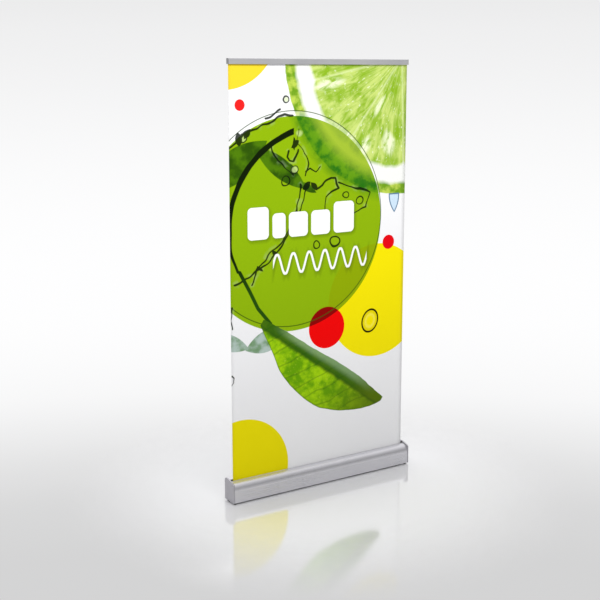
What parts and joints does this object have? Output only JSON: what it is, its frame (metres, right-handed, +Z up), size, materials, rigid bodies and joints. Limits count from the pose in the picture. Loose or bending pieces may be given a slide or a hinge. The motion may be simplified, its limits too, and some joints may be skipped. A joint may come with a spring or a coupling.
{
  "type": "roll-up banner stand",
  "caption": "Free-standing roll-up banner: a spring-roller cassette holds a printed film sheet that hangs from a clamp rail on a telescopic pole.",
  "frame": {"origin": "middle of the footprint, on the floor that the stand's pads rest on", "axes": "+X along the cassette to the right as seen from the front, -Y towards the printed side, +Z up"},
  "size_m": [1.04, 0.0892, 2.08],
  "materials": {
    "black_plastic": "matte",
    "edge_strip": "satin",
    "felt": "matte",
    "foot_steel": "satin",
    "grip_rubber": "matte",
    "leader_film": "satin",
    "nylon": "satin",
    "printed_film": "satin print",
    "rail_aluminium": "satin",
    "rail_cap": "matte",
    "rubber": "matte",
    "screw_steel": "satin",
    "silver_anodised": "satin",
    "silver_cap": "satin",
    "steel": "brushed",
    "tube_aluminium": "satin"
  },
  "bodies": {
    "cassette": {"base_housing": "silver_anodised", "front_slot_strip": "edge_strip", "rear_wiper_strip": "felt", "left_end_cap": "silver_cap", "right_end_cap": "silver_cap", "end_cap_screws": "screw_steel", "corner_pads": "rubber", "foot_pivot_bolts": "screw_steel", "foot_pivot_nuts": "screw_steel", "foot_washers": "nylon", "spring_arbor": "steel", "torsion_spring": "steel", "spring_anchor": "nylon", "idle_axle": "steel", "banner_sheet": "printed_film", "pole_socket": "black_plastic", "socket_screws": "screw_steel", "pole_lower_tube": "tube_aluminium", "pole_foot_plug": "black_plastic", "lower_collet": "nylon"},
    "roller": {"roller_tube": "tube_aluminium", "wound_film": "leader_film", "roller_plug_left": "nylon", "roller_plug_right": "nylon", "roller_bushes": "nylon"},
    "rail": {"rail_body": "rail_aluminium", "rail_end_cap_left": "rail_cap", "rail_end_cap_right": "rail_cap"},
    "jaw": {"rail_jaw": "rail_aluminium", "rail_grip_strip": "grip_rubber"},
    "pole_middle": {"pole_middle_tube": "tube_aluminium", "middle_slider_bush": "nylon", "upper_collet": "nylon"},
    "pole_upper": {"pole_upper_tube": "tube_aluminium", "upper_slider_bush": "nylon", "pole_top_hook": "black_plastic", "hook_pin": "steel"},
    "lower_collar": {"lower_lock_collar": "black_plastic"},
    "upper_collar": {"upper_lock_collar": "black_plastic"},
    "left_foot": {"foot_bar_left": "foot_steel", "foot_pads_left": "rubber"},
    "right_foot": {"foot_bar_right": "foot_steel", "foot_pads_right": "rubber"}
  },
  "joints": [
    {"name": "rail_slide", "type": "slide", "parent": "cassette", "child": "rail", "axis": [0, 0, -1], "range_m": [0, 1.94], "deforming": ["banner_sheet"]},
    {"name": "roller_spin", "type": "hinge", "parent": "cassette", "child": "roller", "pos_m": [0, -0.0175, 0.05], "axis": [1, 0, 0], "continuous": true},
    {"name": "jaw_open", "type": "hinge", "parent": "rail", "child": "jaw", "pos_m": [0, -0.003, 2.0763], "axis": [-1, 0, 0], "range_deg": [0, 55]},
    {"name": "middle_slide", "type": "slide", "parent": "cassette", "child": "pole_middle", "axis": [0, 0, -1], "range_m": [0, 0.59]},
    {"name": "upper_slide", "type": "slide", "parent": "pole_middle", "child": "pole_upper", "axis": [0, 0, -1], "range_m": [0, 0.59]},
    {"name": "lower_collar_twist", "type": "hinge", "parent": "cassette", "child": "lower_collar", "pos_m": [0, 0.026, 0.73], "axis": [0, 0, 1], "range_deg": [0, 90]},
    {"name": "upper_collar_twist", "type": "hinge", "parent": "pole_middle", "child": "upper_collar", "pos_m": [0, 0.026, 1.4], "axis": [0, 0, 1], "range_deg": [0, 90]},
    {"name": "left_foot_swivel", "type": "hinge", "parent": "cassette", "child": "left_foot", "pos_m": [-0.33, 0, 0.003], "axis": [0, 0, 1], "range_deg": [0, 90]},
    {"name": "right_foot_swivel", "type": "hinge", "parent": "cassette", "child": "right_foot", "pos_m": [0.33, 0, 0.003], "axis": [0, 0, -1], "range_deg": [0, 90]}
  ],
  "couplings": [
    {"joint": "roller_spin", "follows": "rail_slide", "rad_per_m": -50}
  ]
}
